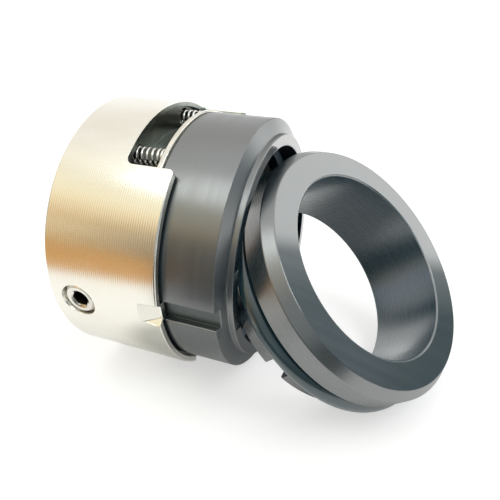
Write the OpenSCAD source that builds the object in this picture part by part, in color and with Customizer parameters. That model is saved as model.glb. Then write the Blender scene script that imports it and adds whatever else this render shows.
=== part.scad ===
// Component mechanical seal for a 43 mm shaft: a multi-spring rotary head lying
// on its side and the loose stationary seat ring leaning against its front.
// Millimetres. The head's axis is +X, its rear face is the plane x = 0, and +Z is up.
// Angles named *_at are clock angles on the head, in degrees from the top,
// growing towards -Y (the side that faces the viewer).

/* [Shaft] */
// Diameter of the shaft that the seal is made for
shaft_d = 43; // [42.6:0.1:43]
// Radial clearance between the shaft and the retainer's bore
shaft_gap = 0.05; // [0.02:0.01:0.1]

/* [Retainer] */
// Outer diameter of the turned retainer
retainer_d = 63; // [62.6:0.2:64]
// Length of the retainer with its thin skirt
retainer_l = 26.6; // [26:0.1:27]
// Wall thickness of the skirt
skirt_t = 1.3; // [1.1:0.05:1.35]
// Length of the thick spring carrier at the rear
carrier_l = 14.6; // [14:0.1:15]
// Outer diameter of the inner sleeve under the thrust disc
sleeve_d = 50; // [49:0.2:50.2]
// Front end of the inner sleeve
sleeve_end = 25; // [23:0.1:25.2]

/* [Windows] */
// Rear edge of the two windows cut in the skirt
window_z = 15.5; // [15:0.1:17]
// Width of each window as an angle
window_angle = 72; // [50:1:76]
// Clock angle of the upper window's middle
window_at = 4.5; // [0:0.5:8]
// Corner radius of the windows
window_r = 1.7; // [0.8:0.1:1.8]

/* [Drive lugs] */
// Clock angle of the lug on the near side
lug_at = 96.5; // [94:0.5:98]
// Width of a lug inside the skirt
lug_w = 4.2; // [3.8:0.1:4.4]
// Width of the dent that presses a lug in, at the shell's front edge
dent_w = 5.4; // [4.8:0.1:5.8]
// Rear end of the lugs, where the thrust disc stops
lug_z = 22.75; // [22.75:0.05:23.2]

/* [Springs] */
// Number of coil springs and of their pockets
spring_n = 8; // [8:1:8]
// Clock angle of the first spring
spring_at = 31; // [29:0.5:33]
// Radius of the spring circle
spring_circle = 27.5; // [27.4:0.05:27.6]
// Outer diameter of a spring
spring_d = 4.0; // [3.6:0.1:4.2]
// Wire diameter of a spring
wire_d = 0.56; // [0.5:0.02:0.6]
// Number of turns in a spring
spring_turns = 12; // [10:1:13]
// Depth of the spring pockets
pocket_depth = 6.1; // [5.5:0.1:6.3]
// Diameter of the spring pockets
pocket_d = 4.6; // [4.5:0.05:4.7]

/* [Set screws] */
// Distance of the set screws from the rear face
screw_z = 6.8; // [6.7:0.1:7]
// Thread diameter of the set screws
screw_d = 8; // [7:0.5:8]
// Width across flats of the hexagon socket
socket_af = 3.6; // [3:0.1:4]
// How far the near set screw lies below the shell
near_depth = 0.5; // [0.2:0.05:0.8]
// How far the lower set screw stands out of the shell
low_proud = 0.02; // [0.01:0.01:0.04]

/* [Rotary face ring] */
// Outer diameter of the face ring
ring_d = 59; // [58.6:0.1:59.2]
// Front lapped face, measured from the retainer's rear face
ring_front = 40.8; // [40.4:0.1:41]
// Outer diameter of the raised nose
nose_d = 52.4; // [52:0.1:53]
// Bore of the raised nose
nose_bore = 47.2; // [47:0.1:47.6]
// Width of the two drive slots
slot_w = 4.8; // [4.7:0.05:5.2]
// Chamfer along the edges of the drive slots
slot_edge = 0.3; // [0.1:0.05:0.4]
// Axial float of the face ring towards the springs
float_travel = 3.5; // [2:0.1:3.6]

/* [Seat] */
// Outer diameter of the seat's flange
seat_d = 60; // [59.6:0.1:60.4]
// Diameter of the seat's polished face
seat_face_d = 56.7; // [56:0.1:57.2]
// Bore of the seat
seat_bore = 44; // [43.8:0.1:44.4]
// Length of the seat
seat_l = 19; // [18.6:0.1:19.2]
// Diameter of the seat's rear body
seat_rear_d = 53.8; // [53.4:0.1:54]
// Width of the slot for the housing's locking pin
pin_slot_w = 5; // [4.4:0.1:5.4]

/* [Seat pose] */
// Centre of the seat's polished face, along the head's axis
seat_x = 64.1; // [64.1:0.05:65]
// Centre of the seat's polished face, sideways
seat_y = -0.7; // [-0.7:0.05:-0.1]
// Centre of the seat's polished face, above the head's axis
seat_z = 0.687; // [0.687:0.01:0.987]
// Angle between the seat's axis and the vertical
seat_lean = 46.6; // [46:0.1:47]
// Turn of the seat about the vertical
seat_turn = -14.8; // [-15.5:0.1:-14]

/* [Hidden] */
$fn = 96;

bore_r = shaft_d / 2 + shaft_gap;
skin_r = retainer_d / 2;
skirt_in = skin_r - skirt_t;
sleeve_r = sleeve_d / 2;
pocket_end = carrier_l - pocket_depth;
disc_front = lug_z - 0.05;
disc_t = 1.1;
disc_rear = disc_front - disc_t;
ring_rear = disc_front;
ring_r = ring_d / 2;
cbore_r = sleeve_r + 0.3;
cbore_end = 33;
slot_floor = ring_r - 1.65;
lug_in = slot_floor + 0.85;
screw_at = spring_at + 1.5 * 360 / spring_n - 0.2;
oring_r = (cbore_r - 0.1 - (bore_r + 0.05)) / 2;
seat_oring_r = 2.05;
seat_groove_r = seat_rear_d / 2 - 0.4;

// the head's own frame: z runs forwards along its axis, x points to the top
module lay() { rotate([0, 90, 0]) rotate([0, 0, 180]) children(); }
// one clock position on the head: x points outwards there
module clock(a) { rotate([0, 0, a]) children(); }
// a solid of revolution from its half section [radius, z]
module turned(section) { rotate_extrude($fn = 180) polygon(section); }
// a wedge between two clock angles, from z0 to z1
module wedge(a0, a1, z0, z1, r = 60) {
    m = (a0 + a1) / 2;
    translate([0, 0, z0]) linear_extrude(z1 - z0)
        polygon([[0, 0], [r * cos(a0), r * sin(a0)], [1.3 * r * cos(m), 1.3 * r * sin(m)],
                 [r * cos(a1), r * sin(a1)]]);
}
// a radial rod: its axis points outwards at tangential place y and height z
module radial_rod(r, x0, x1, y, z, fn = 40) {
    translate([x0, y, z]) rotate([0, 90, 0]) cylinder(r = r, h = x1 - x0, $fn = fn);
}
// what is left between a square corner and its round, drawn flat on the shell:
// the corner is at [0, z] and its two sides run towards sy and sz
module corner_rest(z, sy, sz, r) {
    translate([skirt_in - 1.5, 0, z]) rotate([90, 0, 90]) linear_extrude(skirt_t + 3)
        polygon(concat([[-0.3 * sy, -0.3 * sz], [1.155 * r * sy, -0.3 * sz], [1.155 * r * sy, -0.0205 * r * sz]],
            [for (t = [1 : 5]) [sy * r * (1 - sin(15 * t)), sz * r * (1 - cos(15 * t))]],
            [[-0.0205 * r * sy, 1.155 * r * sz], [-0.3 * sy, 1.155 * r * sz]]));
}

// one window with round corners, open at the front
module window_cut() {
    half = window_angle / 2;
    difference() {
        intersection() {
            difference() {
                cylinder(r = skin_r + 2, h = retainer_l + 4, $fn = 120);
                translate([0, 0, -1]) cylinder(r = skirt_in - 0.6, h = retainer_l + 6, $fn = 120);
            }
            wedge(-half, half, window_z, retainer_l + 2);
        }
        clock(half) corner_rest(window_z, -1, 1, window_r);
        clock(-half) corner_rest(window_z, 1, 1, window_r);
    }
    clock(half) corner_rest(retainer_l, 1, -1, 1.1);
    clock(-half) corner_rest(retainer_l, -1, -1, 1.1);
}

module lug_block() {
    translate([lug_in, -lug_w / 2, lug_z])
        cube([skirt_in + 0.4 - lug_in, lug_w, retainer_l - lug_z]);
}
// the dent over a lug: it starts shallow behind the lug, slopes down to the
// front edge, grows wider towards the front and has leaning side walls
module lug_dent() {
    h = dent_w / 2;
    intersection() {
        translate([0, 5, 0]) rotate([90, 0, 0]) linear_extrude(10)
            polygon([[skin_r + 1.2, lug_z - 4.1], [skin_r - 0.42, lug_z + 0.28],
                     [lug_in + skirt_t, retainer_l - 0.5], [lug_in + skirt_t, retainer_l + 3],
                     [skin_r + 3, retainer_l + 3], [skin_r + 3, lug_z - 4.1]]);
        translate([0, 0, lug_z - 6]) linear_extrude(20)
            polygon([[skirt_in - 1.5, -h * 0.15], [skin_r + 2.5, -h * 1.9], [skin_r + 2.5, h * 1.9],
                     [skirt_in - 1.5, h * 0.15]]);
        translate([skirt_in - 2, 0, 0]) rotate([90, 0, 90]) linear_extrude(6)
            polygon([[-h * 0.72, lug_z - 5], [h * 0.78, lug_z - 5], [h * 1.12, retainer_l + 2.5],
                     [-h * 1.08, retainer_l + 2.5]]);
    }
}

module retainer() color([0.86, 0.83, 0.77]) lay() {
    difference() {
        union() {
            turned([[bore_r + 0.5, 0], [skin_r - 0.5, 0], [skin_r - 0.3, 0.05], [skin_r - 0.15, 0.15],
                    [skin_r - 0.05, 0.3], [skin_r, 0.5], [skin_r, retainer_l - 0.3],
                    [skin_r - 0.1, retainer_l - 0.1], [skin_r - 0.3, retainer_l], [skirt_in, retainer_l],
                    [skirt_in, carrier_l], [sleeve_r, carrier_l], [sleeve_r, sleeve_end - 0.4],
                    [sleeve_r - 0.4, sleeve_end], [bore_r + 0.5, sleeve_end], [bore_r, sleeve_end - 0.5],
                    [bore_r, 0.5]]);
            for (k = [0, 180]) clock(lug_at + k) lug_block();
        }
        for (i = [0 : spring_n - 1]) clock(spring_at + i * 360 / spring_n)
            translate([spring_circle, 0, pocket_end]) cylinder(d = pocket_d, h = pocket_depth + 0.5, $fn = 48);
        for (k = [0, 180]) clock(window_at + k) window_cut();
        for (k = [0, 180]) clock(lug_at + k) lug_dent();
        for (k = [0, 90]) clock(screw_at + k) {
            radial_rod(screw_d / 2, bore_r - 3, skin_r + 2, 0, screw_z, 64);
            translate([skin_r - 0.55, 0, screw_z]) rotate([0, 90, 0])
                cylinder(r1 = screw_d / 2 - 0.05, r2 = screw_d / 2 + 0.35, h = 1.15, $fn = 64);
        }
    }
}

// coil spring: a round wire swept along a helix with closed ends
turn_steps = 12;
wire_sides = 6;
coil_r = (spring_d - wire_d) / 2;
spring_z0 = pocket_end + 0.03 + wire_d / 2;
spring_z1 = disc_rear - 0.03 - wire_d / 2;
// share of the spring's height that is reached after t turns of n
function rise(t, n) = let (c = 1.0, d = wire_d * 1.04, h = spring_z1 - spring_z0, p = (h - 2 * c * d) / (n - 2 * c))
    t < c ? t * d : t > n - c ? h - (n - t) * d : c * d + (t - c) * p;
function coil_point(k) = let (t = k / turn_steps, a = 360 * t)
    [coil_r * cos(a), coil_r * sin(a), spring_z0 + rise(t, spring_turns)];
function coil_ring(k) = let (p = coil_point(k), a = 360 * k / turn_steps, out = [cos(a), sin(a), 0])
    [for (j = [0 : wire_sides - 1]) let (b = 360 * j / wire_sides)
        p + wire_d / 2 * (cos(b) * out + sin(b) * [0, 0, 1])];
module coil() {
    n = spring_turns * turn_steps;
    pts = [for (k = [0 : n]) each coil_ring(k)];
    sides = [for (k = [0 : n - 1], j = [0 : wire_sides - 1])
        let (a = k * wire_sides + j, b = k * wire_sides + (j + 1) % wire_sides)
            [a, b, b + wire_sides, a + wire_sides]];
    polyhedron(points = pts, faces = concat([[for (j = [wire_sides - 1 : -1 : 0]) j]],
        sides, [[for (j = [0 : wire_sides - 1]) n * wire_sides + j]]), convexity = 10);
}
module spring_no(i) color([0.8, 0.8, 0.8]) lay() clock(spring_at + i * 360 / spring_n)
    translate([spring_circle, 0, 0]) rotate([0, 0, 180]) coil();
module spring_1() spring_no(0);
module spring_2() spring_no(1);
module spring_3() spring_no(2);
module spring_4() spring_no(3);
module spring_5() spring_no(4);
module spring_6() spring_no(5);
module spring_7() spring_no(6);
module spring_8() spring_no(7);

module thrust_disc() color([0.78, 0.76, 0.72]) lay()
    turned([[cbore_r + 0.15, disc_rear], [skirt_in - 0.45, disc_rear], [skirt_in - 0.3, disc_rear + 0.15],
            [skirt_in - 0.3, disc_front - 0.15], [skirt_in - 0.45, disc_front], [cbore_r + 0.15, disc_front]]);

module face_ring() color([0.36, 0.37, 0.37]) lay() difference() {
    turned([[cbore_r + 0.3, ring_rear], [ring_r - 0.4, ring_rear], [ring_r, ring_rear + 0.4],
            [ring_r, ring_front - 2.7], [nose_d / 2, ring_front - 1.2], [nose_d / 2, ring_front - 0.12],
            [nose_d / 2 - 0.12, ring_front], [nose_bore / 2 + 0.1, ring_front], [nose_bore / 2, ring_front - 0.1],
            [nose_bore / 2, cbore_end + 3.2], [shaft_d / 2 + 0.6, cbore_end + 2.4],
            [shaft_d / 2 + 0.6, cbore_end], [cbore_r, cbore_end], [cbore_r, ring_rear + 0.3]]);
    for (k = [0, 180]) clock(lug_at + k) translate([0, 0, ring_rear - 1]) linear_extrude(25)
        polygon([[slot_floor, -slot_w / 2], [ring_r - slot_edge, -slot_w / 2], [ring_r + 1, -slot_w / 2 - slot_edge - 1],
                 [ring_r + 1, slot_w / 2 + slot_edge + 1], [ring_r - slot_edge, slot_w / 2], [slot_floor, slot_w / 2]]);
}

module shaft_o_ring() color([0.06, 0.06, 0.07]) lay()
    translate([0, 0, cbore_end - 0.15 - oring_r]) rotate_extrude($fn = 120)
        translate([cbore_r - 0.1 - oring_r, 0]) circle(r = oring_r, $fn = 40);

// threaded set screw with a hexagon socket and a cup point, at clock angle a,
// with its outer end at radius top
screw_l = 9.4;
module set_screw(a, top) color([0.7, 0.68, 0.65]) lay() clock(a) translate([0, 0, screw_z]) rotate([0, 90, 0])
    difference() {
        translate([0, 0, top - screw_l]) rotate_extrude($fn = 72) polygon([[0, 0.8], [1.9, 0], [2.4, 0],
            [screw_d / 2 - 0.08, 1.4], [screw_d / 2 - 0.08, screw_l - 0.8], [screw_d / 2 - 0.8, screw_l], [0, screw_l]]);
        translate([0, 0, top - 4]) cylinder(r = socket_af / 2 / cos(30), h = 5, $fn = 6);
        translate([0, 0, top - 0.35]) cylinder(r1 = socket_af / 2, r2 = socket_af / 2 + 0.6, h = 0.6, $fn = 48);
    }
module set_screw_near() set_screw(screw_at, skin_r - near_depth);
module set_screw_far() set_screw(screw_at + 90, skin_r + low_proud);

// the seat's own frame: z points out of its polished face, which is z = 0
module leaning() translate([seat_x, seat_y, seat_z]) rotate([0, seat_lean, seat_turn]) children();

module seat() color([0.5, 0.5, 0.49]) leaning() difference() {
    turned([[seat_bore / 2 + 0.3, 0], [seat_face_d / 2 - 0.12, 0], [seat_face_d / 2, -0.12],
            [seat_d / 2 - 0.1, -2.1], [seat_d / 2, -2.3],
            [seat_d / 2, -7.4], [seat_d / 2 - 0.25, -7.6], [seat_groove_r, -7.6], [seat_groove_r, -13.2],
            [seat_rear_d / 2, -13.5], [seat_rear_d / 2, -seat_l + 0.6], [seat_rear_d / 2 - 0.6, -seat_l],
            [seat_bore / 2 + 0.4, -seat_l], [seat_bore / 2, -seat_l + 0.4], [seat_bore / 2, -0.3]]);
    rotate([0, 0, -76]) translate([seat_rear_d / 2 - 3, -pin_slot_w / 2, -seat_l - 1])
        cube([6, pin_slot_w, 6.6]);
}

module seat_o_ring() color([0.05, 0.1, 0.11]) leaning() translate([0, 0, -10.55])
    rotate_extrude($fn = 120) translate([seat_groove_r + 0.03 + seat_oring_r, 0]) circle(r = seat_oring_r, $fn = 40);

retainer();
spring_1();
spring_2();
spring_3();
spring_4();
spring_5();
spring_6();
spring_7();
spring_8();
thrust_disc();
face_ring();
shaft_o_ring();
set_screw_near();
set_screw_far();
seat();
seat_o_ring();
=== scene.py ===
"""Looks of the component mechanical seal: the rotary head on its side and the seat ring that leans on it."""

import math
import bmesh
import bpy
from mathutils import Matrix, Vector


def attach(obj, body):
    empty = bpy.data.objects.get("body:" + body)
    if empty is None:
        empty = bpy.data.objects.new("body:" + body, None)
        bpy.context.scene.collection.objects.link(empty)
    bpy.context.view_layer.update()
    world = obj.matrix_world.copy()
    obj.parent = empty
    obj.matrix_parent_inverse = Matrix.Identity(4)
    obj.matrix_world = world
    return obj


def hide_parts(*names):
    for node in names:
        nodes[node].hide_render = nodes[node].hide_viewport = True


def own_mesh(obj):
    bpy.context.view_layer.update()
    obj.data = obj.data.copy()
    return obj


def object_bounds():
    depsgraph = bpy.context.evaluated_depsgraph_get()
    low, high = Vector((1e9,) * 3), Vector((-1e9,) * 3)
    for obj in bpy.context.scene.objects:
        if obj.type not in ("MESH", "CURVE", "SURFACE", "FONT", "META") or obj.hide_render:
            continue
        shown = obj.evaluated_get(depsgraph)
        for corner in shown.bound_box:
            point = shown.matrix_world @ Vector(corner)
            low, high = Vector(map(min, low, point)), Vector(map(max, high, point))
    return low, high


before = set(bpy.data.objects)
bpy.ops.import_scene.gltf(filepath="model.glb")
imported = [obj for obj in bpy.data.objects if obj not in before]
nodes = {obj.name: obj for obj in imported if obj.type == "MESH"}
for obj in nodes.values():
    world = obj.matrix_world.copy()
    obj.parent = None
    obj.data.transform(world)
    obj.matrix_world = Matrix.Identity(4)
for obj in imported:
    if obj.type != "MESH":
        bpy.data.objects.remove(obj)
cad_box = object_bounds()
HEAD = "head_and_seat"
FACE = "floating_face"
MM = 0.001

# ---------------------------------------------------------------- node helpers


class Graph:
    """A node tree, with short calls for the maths that the finishes and the studio need."""

    def __init__(self, node_tree):
        self.t = node_tree
        self.t.nodes.clear()

    def node(self, kind, **props):
        n = self.t.nodes.new(kind)
        for k, v in props.items():
            setattr(n, k, v)
        return n

    def link(self, a, b):
        self.t.links.new(a, b)

    def put(self, sock, value):
        if isinstance(value, bpy.types.NodeSocket):
            self.link(value, sock)
        else:
            sock.default_value = value

    def math(self, op, a, b=None, c=None, clamp=False):
        n = self.node("ShaderNodeMath", operation=op, use_clamp=clamp)
        self.put(n.inputs[0], a)
        if b is not None:
            self.put(n.inputs[1], b)
        if c is not None:
            self.put(n.inputs[2], c)
        return n.outputs[0]

    def coords(self):
        return self.node("ShaderNodeTexCoord").outputs["Object"]

    def mapped(self, vec, scale=(1, 1, 1), rot=(0, 0, 0), loc=(0, 0, 0)):
        n = self.node("ShaderNodeMapping", vector_type="POINT")
        self.link(vec, n.inputs["Vector"])
        n.inputs["Location"].default_value = loc
        n.inputs["Rotation"].default_value = rot
        n.inputs["Scale"].default_value = scale
        return n.outputs[0]

    def xyz(self, vec):
        n = self.node("ShaderNodeSeparateXYZ")
        self.link(vec, n.inputs[0])
        return n.outputs

    def join(self, x, y, z):
        n = self.node("ShaderNodeCombineXYZ")
        for s, v in zip(n.inputs, (x, y, z)):
            self.put(s, v)
        return n.outputs[0]

    def noise(self, vec, scale, detail=2.0, rough=0.5, dim="3D"):
        n = self.node("ShaderNodeTexNoise", noise_dimensions=dim)
        if dim == "1D":
            self.put(n.inputs["W"], vec)
        else:
            self.link(vec, n.inputs["Vector"])
        n.inputs["Scale"].default_value = scale
        n.inputs["Detail"].default_value = detail
        n.inputs["Roughness"].default_value = rough
        return n.outputs[0]

    def ramp(self, fac, stops, mode="LINEAR"):
        n = self.node("ShaderNodeValToRGB")
        self.link(fac, n.inputs[0])
        r = n.color_ramp
        r.interpolation = mode
        while len(r.elements) < len(stops):
            r.elements.new(0.5)
        for e, (p, c) in zip(r.elements, stops):
            e.position = p
            e.color = (*c, 1) if len(c) == 3 else c
        return n.outputs[0]

    def dot(self, vec, axis):
        n = self.node("ShaderNodeVectorMath", operation="DOT_PRODUCT")
        self.link(vec, n.inputs[0])
        n.inputs[1].default_value = axis
        return n.outputs["Value"]

    def scale01(self, v, a, b, lo=0.0, hi=1.0, kind="LINEAR"):
        n = self.node("ShaderNodeMapRange", interpolation_type=kind)
        self.link(v, n.inputs[0])
        for i, x in enumerate((a, b, lo, hi)):
            n.inputs[1 + i].default_value = x
        n.clamp = True
        return n.outputs[0]

    def mix(self, fac, a, b, mode="MIX"):
        n = self.node("ShaderNodeMix", data_type="RGBA", blend_type=mode)
        self.put(n.inputs[0], fac)
        self.put(n.inputs[6], a if isinstance(a, bpy.types.NodeSocket) else (*a, 1))
        self.put(n.inputs[7], b if isinstance(b, bpy.types.NodeSocket) else (*b, 1))
        return n.outputs[2]

    def bump(self, height, distance, strength=1.0, normal=None):
        n = self.node("ShaderNodeBump")
        self.link(height, n.inputs["Height"])
        n.inputs["Distance"].default_value = distance
        n.inputs["Strength"].default_value = strength
        if normal is not None:
            self.link(normal, n.inputs["Normal"])
        return n.outputs[0]

    def rounded(self, radius):
        n = self.node("ShaderNodeBevel", samples=6)
        n.inputs["Radius"].default_value = radius
        return n.outputs[0]


class Tree(Graph):
    """A material's nodes round one Principled shader."""

    def __init__(self, name):
        self.mat = bpy.data.materials.new(name)
        self.mat.use_nodes = True
        super().__init__(self.mat.node_tree)
        self.out = self.node("ShaderNodeOutputMaterial")
        self.bsdf = self.node("ShaderNodeBsdfPrincipled")
        self.link(self.bsdf.outputs[0], self.out.inputs[0])


def radius_of(t, y, z):
    return t.math("SQRT", t.math("ADD", t.math("MULTIPLY", y, y), t.math("MULTIPLY", z, z)))


# ---------------------------------------------------------------- finishes


LUG_AT = 96.5                # the drive lugs' and slots' place round the head, in degrees


def by_lugs(t, p, r, degrees):
    """1 within so many degrees of a drive lug's middle, on either side of the head."""
    across = t.dot(p, (0.0, -math.sin(math.radians(LUG_AT)), math.cos(math.radians(LUG_AT))))
    edge = math.cos(math.radians(degrees))
    return t.scale01(t.math("DIVIDE", t.math("ABSOLUTE", across), r), edge - 0.001, edge + 0.001)


def turned_steel():
    """Stainless steel turned on a lathe: fine rings round the axis on the shell, a facing pattern on its ends,
    and painted shade within it: darker and rougher in the spring chamber and beneath the windows, near black in the
    bore round the shaft."""
    t = Tree("turned_steel")
    b = t.bsdf
    p = t.coords()
    x, y, z = t.xyz(p)
    r = radius_of(t, y, z)
    # the tool's feed marks: rings in x on round walls, rings in r on flat ones
    nrm = t.xyz(t.node("ShaderNodeNewGeometry").outputs["Normal"])
    flat = t.math("GREATER_THAN", t.math("ABSOLUTE", nrm[0]), 0.7)
    along = t.math("ADD", t.math("MULTIPLY", x, t.math("SUBTRACT", 1.0, flat)), t.math("MULTIPLY", r, flat))
    pitch = t.math("SINE", t.math("MULTIPLY", along, 2 * math.pi / 0.00052))
    fine = t.noise(along, 5200, 2.0, 0.6, "1D")
    patch = t.noise(t.mapped(p, (55, 160, 160)), 1.0, 3.0, 0.6)
    stain = t.noise(t.mapped(p, (24, 24, 24)), 1.0, 2.0, 0.5)
    base = t.mix(t.scale01(patch, 0.3, 0.7), (0.835, 0.815, 0.745), (0.875, 0.865, 0.81))
    base = t.mix(t.scale01(stain, 0.55, 0.8, 0.0, 0.35), base, (0.79, 0.76, 0.67))
    line = t.math("ADD", t.math("MULTIPLY", pitch, 0.5), 0.5)
    base = t.mix(t.math("MULTIPLY", line, 0.13), base, (0.55, 0.47, 0.36))
    # painted shade within the shell: the spring chamber and beneath the windows, away from the drive lugs, painted
    # darker; past x 16 mm the bore round the shaft painted near black
    inside_painted_shade = t.math("MULTIPLY", t.scale01(r, 0.0312, 0.03135, 1.0, 0.0), t.scale01(x, 0.0012, 0.0022))
    inside_painted_shade = t.math("MULTIPLY", inside_painted_shade, t.math("MULTIPLY", t.scale01(x, 0.0262, 0.0264, 1.0, 0.0), t.math("SUBTRACT", 1.0, by_lugs(t, p, r, 9.0))))
    sleeve_painted_shade = t.math("MULTIPLY", t.scale01(r, 0.0238, 0.0242, 1.0, 0.0), t.scale01(x, 0.016, 0.018))
    base = t.mix(t.math("MULTIPLY", inside_painted_shade, 0.9), base, t.mix(t.scale01(patch, 0.35, 0.65), (0.13, 0.15, 0.14), (0.25, 0.28, 0.26)))
    base = t.mix(sleeve_painted_shade, base, (0.035, 0.05, 0.06))
    # the rear end is faced, not polished
    rear = t.math("LESS_THAN", nrm[0], -0.7)
    base = t.mix(t.math("MULTIPLY", t.math("MULTIPLY", rear, t.scale01(x, 0.001, 0.0014, 1.0, 0.0)), 0.8), base, (0.47, 0.46, 0.43))
    t.link(base, b.inputs["Base Color"])
    rough = t.scale01(t.math("ADD", t.math("MULTIPLY", fine, 0.5), t.math("MULTIPLY", patch, 0.5)), 0.3, 0.7, 0.15, 0.22)
    t.link(t.math("ADD", rough, t.math("MULTIPLY", inside_painted_shade, 0.14)), b.inputs["Roughness"])
    b.inputs["Metallic"].default_value = 1.0
    b.inputs["Anisotropic"].default_value = 0.7
    tan = t.node("ShaderNodeTangent", direction_type="RADIAL", axis="X")
    t.link(tan.outputs[0], b.inputs["Tangent"])
    # each feed mark catches the light at a slightly different place round the shell
    n = t.bump(fine, 0.000002, 0.5, t.rounded(0.00018))
    nn = t.xyz(n)
    swing = t.math("MULTIPLY", pitch, 0.026)
    around = t.join(0.0, t.math("MULTIPLY", nn[2], t.math("MULTIPLY", swing, -1.0)), t.math("MULTIPLY", nn[1], swing))
    add = t.node("ShaderNodeVectorMath", operation="ADD")
    t.link(n, add.inputs[0])
    t.link(around, add.inputs[1])
    unit = t.node("ShaderNodeVectorMath", operation="NORMALIZE")
    t.link(add.outputs[0], unit.inputs[0])
    t.link(unit.outputs[0], b.inputs["Normal"])
    return t.mat


def bright_steel(name, colour, rough, grain=900, bump=0.00001, round_r=0.00012):
    """Drawn, punched or machined stainless steel with fine marks."""
    t = Tree(name)
    b = t.bsdf
    p = t.coords()
    n = t.noise(t.mapped(p, (grain, grain, grain)), 1.0, 4.0, 0.6)
    m = t.noise(t.mapped(p, (160, 160, 160)), 1.0, 2.0, 0.5)
    dark = tuple(c * 0.82 for c in colour)
    t.link(t.mix(t.scale01(m, 0.35, 0.65), dark, colour), b.inputs["Base Color"])
    t.link(t.scale01(n, 0.3, 0.7, rough * 0.75, rough * 1.3), b.inputs["Roughness"])
    b.inputs["Metallic"].default_value = 1.0
    t.link(t.bump(n, bump, 0.5, t.rounded(round_r)), b.inputs["Normal"])
    return t.mat


def rubber(name, colour, rough, coat=0.0):
    """Moulded rubber: dark, slightly glossy, with a faint mottle."""
    t = Tree(name)
    b = t.bsdf
    p = t.coords()
    n = t.noise(t.mapped(p, (700, 700, 700)), 1.0, 3.0, 0.55)
    m = t.noise(t.mapped(p, (90, 90, 90)), 1.0, 2.0, 0.5)
    t.link(t.mix(t.scale01(m, 0.35, 0.65), tuple(c * 0.7 for c in colour), colour), b.inputs["Base Color"])
    t.link(t.scale01(n, 0.3, 0.7, rough * 0.85, rough * 1.2), b.inputs["Roughness"])
    b.inputs["Specular IOR Level"].default_value = 0.8
    b.inputs["Coat Weight"].default_value = coat
    b.inputs["Coat Roughness"].default_value = 0.1
    t.link(t.bump(n, 0.000008, 0.4), b.inputs["Normal"])
    return t.mat


def carbide(name, head=True, lapped_x=0.0408):
    """Ground silicon carbide: dark grey, semi-gloss, grinding rings, and a lapped face that mirrors."""
    t = Tree(name)
    b = t.bsdf
    p = t.coords()
    if not head:
        # the seat's own frame: x runs along its axis, out of its polished face
        shift = t.node("ShaderNodeVectorMath", operation="SUBTRACT")
        t.link(p, shift.inputs[0])
        shift.inputs[1].default_value = SEAT_CENTRE
        rows = []
        for axis in (SEAT_N, SEAT_U, SEAT_V):
            dot = t.node("ShaderNodeVectorMath", operation="DOT_PRODUCT")
            t.link(shift.outputs[0], dot.inputs[0])
            dot.inputs[1].default_value = axis
            rows.append(dot.outputs["Value"])
        x, y, z = rows
        p = t.join(x, y, z)
    else:
        x, y, z = t.xyz(p)
    r = radius_of(t, y, z)
    lap = lapped_x if head else 0.0
    face = t.math("GREATER_THAN", x, lap - 0.00004)
    along = t.math("ADD", t.math("MULTIPLY", x, t.math("SUBTRACT", 1.0, face)), t.math("MULTIPLY", r, face))
    rings = t.noise(along, 3200, 3.0, 0.6, "1D")
    wide = t.noise(along, 500, 2.0, 0.6, "1D")
    grain = t.noise(t.mapped(p, (2400, 2400, 2400)), 1.0, 2.0, 0.6)
    mottle = t.noise(t.mapped(p, (110, 110, 110)), 1.0, 3.0, 0.55)
    base = t.mix(t.scale01(mottle, 0.35, 0.65), (0.006, 0.015, 0.020), (0.012, 0.022, 0.028))
    specks = t.math("MULTIPLY", t.scale01(grain, 0.60, 0.72, 0.0, 0.35), t.math("SUBTRACT", 1.0, face))
    base = t.mix(specks, base, (0.055, 0.065, 0.07))
    if head:
        # painted shade: the two drive slots are painted dark, nearly metallic and rougher
        painted_shade = t.math("MULTIPLY", by_lugs(t, p, r, 10.0), t.math("MULTIPLY", t.scale01(r, 0.0291, 0.0293, 1.0, 0.0), t.scale01(x, 0.0385, 0.0388, 1.0, 0.0)))
        base = t.mix(painted_shade, base, (0.13, 0.15, 0.15))
        # painted shade: the bore is painted a dark bluish metal
        bore_painted_shade = t.scale01(r, 0.0237, 0.0239, 1.0, 0.0)
        base = t.mix(bore_painted_shade, base, (0.035, 0.06, 0.08))
        t.link(t.math("MAXIMUM", t.math("MULTIPLY", painted_shade, 0.9), bore_painted_shade), b.inputs["Metallic"])
    else:
        # painted shade in the bore: painted a little bluer and darker in red than the ground outside
        painted_shade = t.math("MULTIPLY", t.scale01(r, 0.0221, 0.0224, 1.0, 0.0), t.math("SUBTRACT", 1.0, face))
        base = t.mix(painted_shade, base, (0.004, 0.032, 0.050))
    t.link(base, b.inputs["Base Color"])
    ground = t.scale01(t.math("ADD", t.math("MULTIPLY", rings, 0.3), t.math("MULTIPLY", wide, 0.7)), 0.3, 0.7, *((0.27, 0.33) if head else (0.255, 0.295)))
    rough = t.math("ADD", t.math("MULTIPLY", ground, t.math("SUBTRACT", 1.0, face)), t.math("MULTIPLY", face, 0.04))
    if head:
        rough = t.math("ADD", rough, t.math("MULTIPLY", painted_shade, 0.15))
    t.link(rough, b.inputs["Roughness"])
    b.inputs["IOR"].default_value = 2.75
    h = t.math("MULTIPLY", t.math("ADD", rings, t.math("MULTIPLY", grain, 0.6)), t.math("SUBTRACT", 1.0, t.math("MULTIPLY", face, 0.97)))
    t.link(t.bump(h, 0.0000014, 0.28, t.rounded(0.00026)), b.inputs["Normal"])
    return t.mat


# the seat's place, as in the construction: centre of its polished face, its axis and two directions across it
LEAN, TURN = math.radians(46.6), math.radians(-14.8)
SEAT_CENTRE = Vector((0.0641, -0.0007, 0.000687))
SEAT_N = Vector((math.sin(LEAN) * math.cos(TURN), math.sin(LEAN) * math.sin(TURN), math.cos(LEAN)))
SEAT_U = Vector((math.cos(LEAN) * math.cos(TURN), math.cos(LEAN) * math.sin(TURN), -math.sin(LEAN)))
SEAT_V = Vector((-math.sin(TURN), math.cos(TURN), 0.0))

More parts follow.
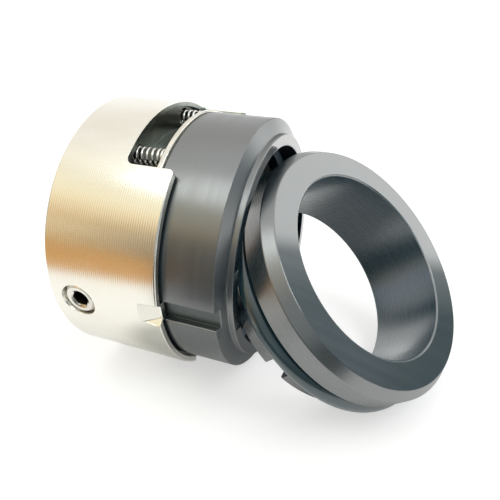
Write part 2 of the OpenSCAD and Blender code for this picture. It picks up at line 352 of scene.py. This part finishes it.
steel = turned_steel()
ring_mat = carbide("ground_carbide_ring")
seat_mat = carbide("ground_carbide_seat", head=False)
disc_mat = bright_steel("punched_steel", (0.80, 0.77, 0.70), 0.22)
wire_mat = bright_steel("spring_wire", (0.83, 0.81, 0.77), 0.2, 1600)
screw_mat = bright_steel("screw_steel", (0.80, 0.77, 0.72), 0.24)
# painted shade: the set screws' hexagon sockets are painted near black
socket_painted_shade_mat = bright_steel("socket_steel_painted_shade", (0.10, 0.085, 0.075), 0.4)
ring_rubber = rubber("shaft_rubber", (0.022, 0.022, 0.024), 0.5)
seat_rubber = rubber("seat_rubber", (0.012, 0.040, 0.052), 0.22, 0.6)


def dress(name, mat):
    o = nodes[name]
    o.data.materials.clear()
    o.data.materials.append(mat)


dress("retainer", steel)
dress("thrust_disc", disc_mat)
dress("face_ring", ring_mat)
dress("shaft_o_ring", ring_rubber)
dress("seat", seat_mat)
dress("seat_o_ring", seat_rubber)
for n in ("set_screw_near", "set_screw_far"):
    dress(n, screw_mat)

# ---------------------------------------------------------------- springs

SPRING_AT, CIRCLE = 31.0, 27.5
X0, X1 = 8.53, 21.57          # a spring's two ends along the axis, in mm
COIL_R, WIRE = 1.70, 0.31     # mean coil radius and the wire's radius
TURNS, STEPS, SIDES = 11, 36, 10


def rise(t):
    c, d = 1.0, WIRE * 2 * 1.04
    h = X1 - X0 - 2 * WIRE
    p = (h - 2 * c * d) / (TURNS - 2 * c)
    if t < c:
        return t * d
    if t > TURNS - c:
        return h - (TURNS - t) * d
    return c * d + (t - c) * p


def coil_mesh(index):
    a0 = math.radians(SPRING_AT + index * 45)
    out = Vector((0, -math.sin(a0), math.cos(a0)))        # outwards from the head's axis
    side = Vector((0, -math.cos(a0), -math.sin(a0)))
    ax = Vector((1, 0, 0))
    centre = out * CIRCLE
    bm = bmesh.new()
    rings = []
    n = TURNS * STEPS
    for k in range(n + 1):
        t = k / STEPS
        a = 2 * math.pi * t + math.pi
        rad = out * math.cos(a) + side * math.sin(a)
        mid = centre + rad * COIL_R + ax * (X0 + WIRE + rise(t))
        rings.append([bm.verts.new((mid + WIRE * (math.cos(b) * rad + math.sin(b) * ax)) * MM)
                      for b in (2 * math.pi * j / SIDES for j in range(SIDES))])
    for k in range(n):
        for j in range(SIDES):
            bm.faces.new((rings[k][j], rings[k][(j + 1) % SIDES], rings[k + 1][(j + 1) % SIDES], rings[k + 1][j]))
    bm.faces.new(rings[0])
    bm.faces.new(rings[-1])
    bmesh.ops.recalc_face_normals(bm, faces=bm.faces)
    for f in bm.faces:
        f.smooth = len(f.verts) == 4
    me = bpy.data.meshes.new("coil_%d" % (index + 1))
    bm.to_mesh(me)
    bm.free()
    return me


for i in range(8):
    o = bpy.data.objects.new("coil_%d" % (i + 1), coil_mesh(i))
    bpy.context.scene.collection.objects.link(o)
    o.data.materials.append(wire_mat)
    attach(o, HEAD)
    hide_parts("spring_%d" % (i + 1))
    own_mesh(o)

# ---------------------------------------------------------------- set screws

SCREW_AT, SCREW_X = 98.3, 6.8
SCREW_LEN, SCREW_R = 9.4, 3.92
SEG = 60


def screw_mesh(name, clock, top):
    """Cup-point socket set screw: a real helical thread, a chamfered end and a hexagon socket with its drill point."""
    a0 = math.radians(clock)
    out = Vector((0, -math.sin(a0), math.cos(a0)))
    side = Vector((0, -math.cos(a0), -math.sin(a0)))
    ax = Vector((1, 0, 0))
    base = out * (top - SCREW_LEN) + ax * SCREW_X
    apothem = 1.8

    def hexagon(th, rr):
        return rr / math.cos((th % (math.pi / 3)) - math.pi / 6)

    def thread(th, h):
        turn = (h / 1.25 - th / (2 * math.pi)) % 1.0
        tooth = min(1.0, max(0.0, 2.6 * abs(turn - 0.5) - 0.15))
        fade = min(1.0, max(0.0, (h - 1.35) / 0.5)) * min(1.0, max(0.0, (8.65 - h) / 0.35))
        return SCREW_R - 0.6 * (1 - tooth) * fade

    rows = []                                   # each row: radius as a function of the angle, and a height
    rows.append((lambda th: 0.02, 0.82))
    rows.append((lambda th: 1.85, 0.03))
    rows.append((lambda th: 1.98, 0.0))
    rows.append((lambda th: 2.3, 0.0))
    rows.append((lambda th: 2.42, 0.05))
    rows.append((lambda th: 3.8, 1.3))
    h = 1.4
    while h < 8.6:
        rows.append((lambda th, hh=h: thread(th, hh), h))
        h += 0.09
    rows.append((lambda th: SCREW_R, 8.6))
    rows.append((lambda th: 3.28, 9.33))
    rows.append((lambda th: 3.18, 9.4))
    rows.append((lambda th: 2.52, 9.4))
    rows.append((lambda th: 2.42, 9.37))
    rows.append((lambda th: max(1.95, hexagon(th, apothem)) + 0.05, 9.1))
    rows.append((lambda th: hexagon(th, apothem), 9.0))
    rows.append((lambda th: hexagon(th, apothem), 5.42))
    rows.append((lambda th: hexagon(th, apothem) * 0.92, 5.4))
    rows.append((lambda th: 1.4, 5.4))
    rows.append((lambda th: 0.02, 5.3))
    bm = bmesh.new()
    grid = []
    # the faces from this row on line the hexagon socket and take the second material, painted dark as painted shade
    socket_row = len(rows) - 5
    for rad, hh in rows:
        ring = []
        for k in range(SEG):
            th = 2 * math.pi * k / SEG
            d = side * math.sin(th) + ax * math.cos(th)
            ring.append(bm.verts.new((base + d * rad(th) + out * hh) * MM))
        grid.append(ring)
    for i, (r0, r1) in enumerate(zip(grid, grid[1:])):
        for k in range(SEG):
            f = bm.faces.new((r0[k], r0[(k + 1) % SEG], r1[(k + 1) % SEG], r1[k]))
            f.material_index = 1 if i >= socket_row else 0
    bm.faces.new(grid[0])
    bm.faces.new(grid[-1]).material_index = 1
    bmesh.ops.recalc_face_normals(bm, faces=bm.faces)
    for f in bm.faces:
        f.smooth = True
    me = bpy.data.meshes.new(name)
    bm.to_mesh(me)
    bm.free()
    return me


def sharpen(o, degrees):
    """Smooth shading with edges kept crisp where the surface turns by more than this."""
    me = o.data
    bm = bmesh.new()
    bm.from_mesh(me)
    lim = math.radians(degrees)
    for e in bm.edges:
        e.smooth = not (len(e.link_faces) == 2 and e.calc_face_angle(0.0) > lim)
    for f in bm.faces:
        f.smooth = True
    bm.to_mesh(me)
    bm.free()


for tag, clock, top in (("near", SCREW_AT, 31.0), ("far", SCREW_AT + 90, 31.52)):
    o = bpy.data.objects.new("screw_" + tag, screw_mesh("screw_" + tag, clock, top))
    bpy.context.scene.collection.objects.link(o)
    o.data.materials.append(screw_mat)
    o.data.materials.append(socket_painted_shade_mat)
    sharpen(o, 35)
    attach(o, HEAD)
    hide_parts("set_screw_" + tag)

# ---------------------------------------------------------------- floor, light, camera



def compass(azimuth):
    """The level direction at this azimuth: 0 is +X and 90 is +Y."""
    a = math.radians(azimuth)
    return (math.cos(a), math.sin(a), 0.0)


FLOOR_Z = cad_box[0][2] - 0.00002
bm = bmesh.new()
rows = [-14.0, -6.0, -2.0, -0.8, -0.3, 0.0, 0.3, 0.8, 2.0, 6.0, 14.0]
grid = [[bm.verts.new((gx, gy, FLOOR_Z)) for gy in rows] for gx in rows]
for i in range(len(rows) - 1):
    for j in range(len(rows) - 1):
        bm.faces.new((grid[i][j], grid[i + 1][j], grid[i + 1][j + 1], grid[i][j + 1]))
me = bpy.data.meshes.new("floor")
bm.to_mesh(me)
bm.free()
floor = bpy.data.objects.new("floor", me)
bpy.context.scene.collection.objects.link(floor)
t = Tree("floor_paper")
p = t.coords()
v = t.noise(t.mapped(p, (30, 30, 30)), 1.0, 2.0, 0.5)
paper = t.mix(v, (0.60, 0.60, 0.60), (0.62, 0.62, 0.62))
# painted reflection: in mirrored rays only, the floor in front of the object, beyond a line, is painted tan like a
# wooden top; the camera sees plain floor there
painted_table_reflection = t.scale01(t.dot(p, compass(-118)), 0.095, 0.122, 0.0, 1.0, "SMOOTHSTEP")
px, py, pz = t.xyz(p)
# painted shade: a dark patch of floor further to the front, in mirrored rays only
dusk_painted_shade = t.math("MULTIPLY", t.scale01(t.dot(p, compass(-28)), 0.031, 0.042), t.scale01(py, -0.062, -0.080))
# the floor glows evenly for the camera; in mirrored rays its glow is lower, and none over the painted wooden top and
# the dark patch
mirrored = t.node("ShaderNodeLightPath").outputs["Is Glossy Ray"]
lost = t.math("MAXIMUM", t.scale01(t.dot(p, compass(-118)), 0.095, 0.122, 0.0, 1.0, "SMOOTHSTEP"), dusk_painted_shade)
glow = t.mix(mirrored, (0.50, 0.50, 0.50), t.mix(lost, (0.19, 0.19, 0.19), (0.0, 0.0, 0.0)))
# painted shadow: a dark patch of floor beneath the seat, in mirrored rays only
off = t.node("ShaderNodeVectorMath", operation="DISTANCE")
t.link(p, off.inputs[0])
off.inputs[1].default_value = (0.055, 0.002, FLOOR_Z)
under_seat_painted_shadow = t.math("MULTIPLY", t.scale01(off.outputs["Value"], 0.016, 0.030, 0.66, 0.0, "SMOOTHSTEP"), mirrored)
# painted shade: a second dark patch of floor, in mirrored rays only
off2 = t.node("ShaderNodeVectorMath", operation="DISTANCE")
t.link(p, off2.inputs[0])
off2.inputs[1].default_value = (0.021, -0.034, FLOOR_Z)
shade = t.math("MULTIPLY", t.scale01(off2.outputs["Value"], 0.009, 0.020, 0.5, 0.0, "SMOOTHSTEP"), mirrored)
# painted light: in mirrored rays the floor behind the object glows white
backlit_painted_glow = t.math("MULTIPLY", t.scale01(py, 0.035, 0.10, 0.0, 1.0, "SMOOTHSTEP"), t.scale01(t.dot(p, (-0.723, 0.660, 0.0)), -0.03, 0.0))
glow = t.mix(t.math("MULTIPLY", backlit_painted_glow, mirrored), glow, (1.0, 1.0, 1.0))
# in mirrored rays the floor is painted paler than the camera sees it, tan over the wooden top and dark over the
# painted patches
paper = t.mix(mirrored, paper, (0.84, 0.84, 0.84))
paper = t.mix(t.math("MULTIPLY", painted_table_reflection, mirrored), paper, (0.60, 0.32, 0.11))
paper = t.mix(t.math("MULTIPLY", dusk_painted_shade, mirrored), paper, (0.10, 0.10, 0.10))
paper = t.mix(under_seat_painted_shadow, paper, (0.02, 0.03, 0.04))
glow = t.mix(under_seat_painted_shadow, glow, (0.0, 0.0, 0.0))
paper = t.mix(shade, paper, (0.10, 0.12, 0.12))
glow = t.mix(shade, glow, (0.0, 0.0, 0.0))
t.link(paper, t.bsdf.inputs["Base Color"])
t.link(glow, t.bsdf.inputs["Emission Color"])
t.bsdf.inputs["Emission Strength"].default_value = 1.0
t.bsdf.inputs["Roughness"].default_value = 0.9
t.bsdf.inputs["Specular IOR Level"].default_value = 0.1
floor.data.materials.append(t.mat)


def area(name, at, target, size, power, colour=(1, 1, 1), spread=180):
    l = bpy.data.lights.new(name, "AREA")
    l.shape = "RECTANGLE"
    l.size, l.size_y = size
    l.energy = power
    l.color = colour
    l.spread = math.radians(spread)
    o = bpy.data.objects.new(name, l)
    bpy.context.scene.collection.objects.link(o)
    o.location = at
    d = Vector(target) - Vector(at)
    o.rotation_euler = d.to_track_quat("-Z", "Y").to_euler()
    return o


area("softbox", (-0.180, -0.247, 0.503), (0.035, 0.0, 0.0), (0.20, 0.20), 0.26, (0.92, 1.0, 1.0))
area("edge_light", (0.42, -0.08, 0.47), (0.06, 0.0, 0.0), (0.30, 0.30), 1.0, (0.97, 1.0, 1.0))

world = bpy.data.worlds.new("studio")
bpy.context.scene.world = world
world.use_nodes = True
w = Graph(world.node_tree)
wo = w.node("ShaderNodeOutputWorld")
bg = w.node("ShaderNodeBackground")
w.link(bg.outputs[0], wo.inputs[0])
d = w.node("ShaderNodeTexCoord").outputs["Generated"]
up = w.xyz(d)[2]
lift = w.scale01(up, -1.0, 1.0)


def sky(stops):
    """A colour for each height: stops are (sine of the elevation, colour)."""
    return w.ramp(lift, [((s + 1) / 2, c) for s, c in stops])


# a white screen stands behind the object and curves over it; its edge runs past the object on the right
past = w.dot(d, (-0.723, 0.660, 0.2045))
screen = w.math("ADD", w.scale01(past, -0.015, 0.03, 0.0, 0.8, "SMOOTHSTEP"), w.scale01(past, -0.10, 0.0, 0.0, 0.2, "SMOOTHSTEP"))
lit = w.scale01(w.dot(d, compass(52)), 0.55, 0.9, 0.0, 1.0, "SMOOTHSTEP")
white = w.mix(lit, sky([(-1.0, (1.0, 1.0, 1.0)), (0.3, (1.15, 1.15, 1.13)), (0.55, (1.05, 1.02, 0.97)), (0.66, (1.0, 0.96, 0.90)), (0.80, (1.0, 0.97, 0.90)),
              (0.90, (1.3, 1.3, 1.26)), (1.0, (1.3, 1.3, 1.3))]), (1.9, 1.93, 1.9))
room = sky([(-1.0, (0.2, 0.22, 0.23)), (-0.1, (0.17, 0.20, 0.21)), (0.12, (0.24, 0.30, 0.31)), (0.20, (0.34, 0.39, 0.41)), (0.45, (0.45, 0.51, 0.53)),
            (0.64, (0.56, 0.62, 0.63)), (0.74, (1.2, 1.22, 1.2)), (0.95, (1.3, 1.3, 1.28))])
slats = w.noise(w.math("ARCTAN2", w.xyz(d)[1], w.xyz(d)[0]), 75.0, 2.0, 0.6, "1D")
room = w.mix(w.scale01(slats, 0.35, 0.65, 0.0, 0.28), room, (0.12, 0.15, 0.17))
# the warm side that the shell's flank mirrors
warm = sky([(-1.0, (0.6, 0.36, 0.15)), (-0.1, (0.60, 0.36, 0.15)), (0.03, (0.74, 0.56, 0.32)), (0.165, (0.74, 0.54, 0.29)),
            (0.18, (1.15, 1.0, 0.76)), (0.20, (1.15, 1.0, 0.76)), (0.215, (0.70, 0.49, 0.24)), (0.27, (0.74, 0.52, 0.27)), (0.44, (1.05, 0.86, 0.57)), (0.55, (1.15, 1.06, 0.77)),
            (0.68, (1.02, 0.96, 0.78)), (0.76, (1.2, 1.16, 1.02)), (0.95, (1.4, 1.4, 1.36))])
azimuth = w.math("ARCTAN2", w.xyz(d)[1], w.xyz(d)[0])
low = w.scale01(up, 0.22, 0.45, 1.0, 0.0, "SMOOTHSTEP")
warm = w.mix(w.math("MULTIPLY", w.scale01(azimuth, math.radians(-131), math.radians(-113), 0.0, 0.92), low), warm, (0.10, 0.11, 0.115))
warm = w.mix(w.math("MULTIPLY", w.scale01(azimuth, math.radians(-112), math.radians(-94), 0.0, 1.0, "SMOOTHSTEP"), w.scale01(up, 0.5, 0.8, 1.0, 0.0, "SMOOTHSTEP")), warm, (0.58, 0.60, 0.60))
warm = w.mix(w.math("MULTIPLY", w.scale01(azimuth, math.radians(-150), math.radians(-139), 1.0, 0.0, "SMOOTHSTEP"), low), warm, (0.60, 0.67, 0.76))
side = w.scale01(w.dot(d, compass(-128)), 0.30, 0.62, 0.0, 1.0, "SMOOTHSTEP")
studio = w.mix(side, w.mix(screen, room, white), warm)
# a grey flag behind the object gives the shell's far side a gradient
flag = w.math("MULTIPLY", w.scale01(azimuth, math.radians(60), math.radians(67), 0.0, 1.0, "SMOOTHSTEP"),
              w.scale01(azimuth, math.radians(98), math.radians(112), 1.0, 0.0, "SMOOTHSTEP"))
flag = w.math("MULTIPLY", flag, w.math("MULTIPLY", w.scale01(up, -0.05, 0.12, 0.0, 0.8, "SMOOTHSTEP"), w.scale01(up, 0.30, 0.62, 1.0, 0.0, "SMOOTHSTEP")))
studio = w.mix(flag, studio, (0.24, 0.26, 0.26))
# seen straight, past the floor's far end, the surroundings are plain white
seen = w.node("ShaderNodeLightPath").outputs["Is Camera Ray"]
w.link(w.mix(seen, studio, (1.0, 1.0, 1.0)), bg.inputs[0])
bg.inputs[1].default_value = 1.0

cam_data = bpy.data.cameras.new("camera")
cam_data.sensor_width = 36.0
cam_data.sensor_fit = "HORIZONTAL"
cam_data.lens = 35.91
cam_data.clip_start = 0.005
cam_data.clip_end = 20
cam = bpy.data.objects.new("camera", cam_data)
bpy.context.scene.collection.objects.link(cam)
right = Vector((0.9316, 0.3635, 0.0)).normalized()
fwd = Vector((-0.3191, 0.8179, -0.4788)).normalized()
up = right.cross(fwd).normalized()
right = fwd.cross(up).normalized()
rot = Matrix((right, up, -fwd)).transposed()
cam.matrix_world = Matrix.Translation(Vector((0.07344, -0.10047, 0.05630))) @ rot.to_4x4()
bpy.context.scene.camera = cam

sc = bpy.context.scene
sc.view_settings.view_transform = "Standard"
sc.view_settings.look = "None"
sc.view_settings.exposure = 0.0
sc.view_settings.gamma = 1.0
